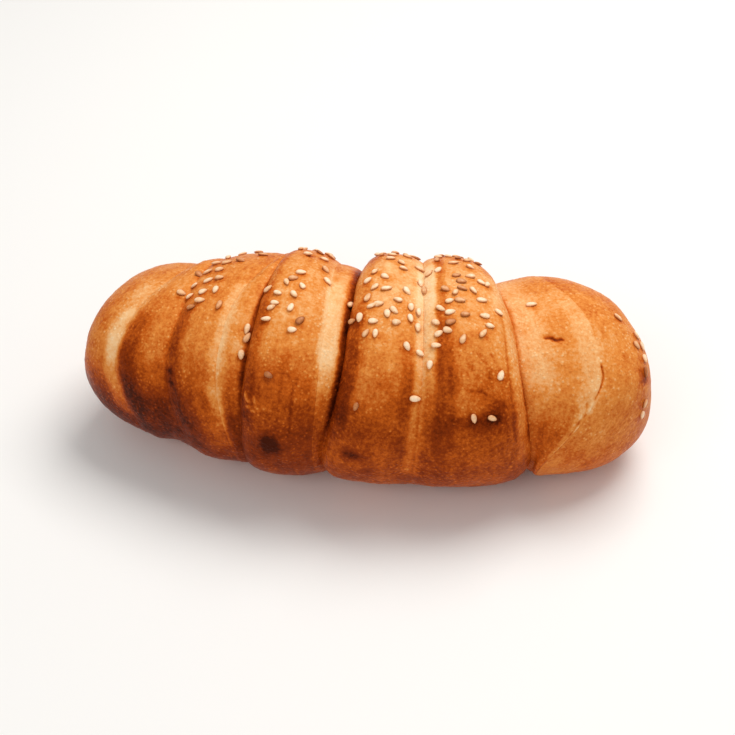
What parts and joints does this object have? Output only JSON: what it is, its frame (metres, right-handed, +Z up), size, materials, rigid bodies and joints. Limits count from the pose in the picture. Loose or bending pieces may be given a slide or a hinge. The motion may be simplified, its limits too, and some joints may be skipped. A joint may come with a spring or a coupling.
{
  "type": "bread roll",
  "caption": "Bread roll of overlapping rolled dough layers, gently curved, with blunt ends, a glossy brown crust, sesame seeds on top and a flat baked base.",
  "frame": {"origin": "on the surface that the roll rests on, under the middle of its box", "axes": "+X along the roll from its smaller left end to its right end, -Y towards the bulging long side, +Z up"},
  "size_m": [0.1828, 0.0808, 0.0673],
  "materials": {
    "crust": "egg-washed golden-brown crust, semi-gloss, darker low at the front and paler in the stretched creases",
    "seed": "cream sesame seed coat, smooth and slightly satin, some toasted brown"
  },
  "bodies": {
    "root": {"bread_roll": "crust", "sesame_seed_01": "seed", "sesame_seed_02": "seed", "sesame_seed_03": "seed", "sesame_seed_04": "seed", "sesame_seed_05": "seed", "sesame_seed_06": "seed", "sesame_seed_07": "seed", "sesame_seed_08": "seed", "sesame_seed_09": "seed", "sesame_seed_10": "seed", "sesame_seed_11": "seed", "sesame_seed_12": "seed", "sesame_seed_13": "seed", "sesame_seed_14": "seed", "sesame_seed_15": "seed", "sesame_seed_16": "seed", "sesame_seed_17": "seed", "sesame_seed_18": "seed", "sesame_seed_19": "seed", "sesame_seed_20": "seed", "sesame_seed_21": "seed", "sesame_seed_22": "seed", "sesame_seed_23": "seed", "sesame_seed_24": "seed", "sesame_seed_25": "seed", "sesame_seed_26": "seed", "sesame_seed_27": "seed", "sesame_seed_28": "seed", "sesame_seed_29": "seed", "sesame_seed_30": "seed", "sesame_seed_31": "seed", "sesame_seed_32": "seed", "sesame_seed_33": "seed", "sesame_seed_34": "seed", "sesame_seed_35": "seed", "sesame_seed_36": "seed", "sesame_seed_37": "seed", "sesame_seed_38": "seed", "sesame_seed_39": "seed", "sesame_seed_40": "seed", "sesame_seed_41": "seed", "sesame_seed_42": "seed", "sesame_seed_43": "seed", "sesame_seed_44": "seed", "sesame_seed_45": "seed", "sesame_seed_46": "seed", "sesame_seed_47": "seed", "sesame_seed_48": "seed", "sesame_seed_49": "seed", "sesame_seed_50": "seed", "sesame_seed_51": "seed", "sesame_seed_52": "seed", "sesame_seed_53": "seed", "sesame_seed_54": "seed", "sesame_seed_55": "seed", "sesame_seed_56": "seed", "sesame_seed_57": "seed", "sesame_seed_58": "seed", "sesame_seed_59": "seed"}
  },
  "joints": []
}
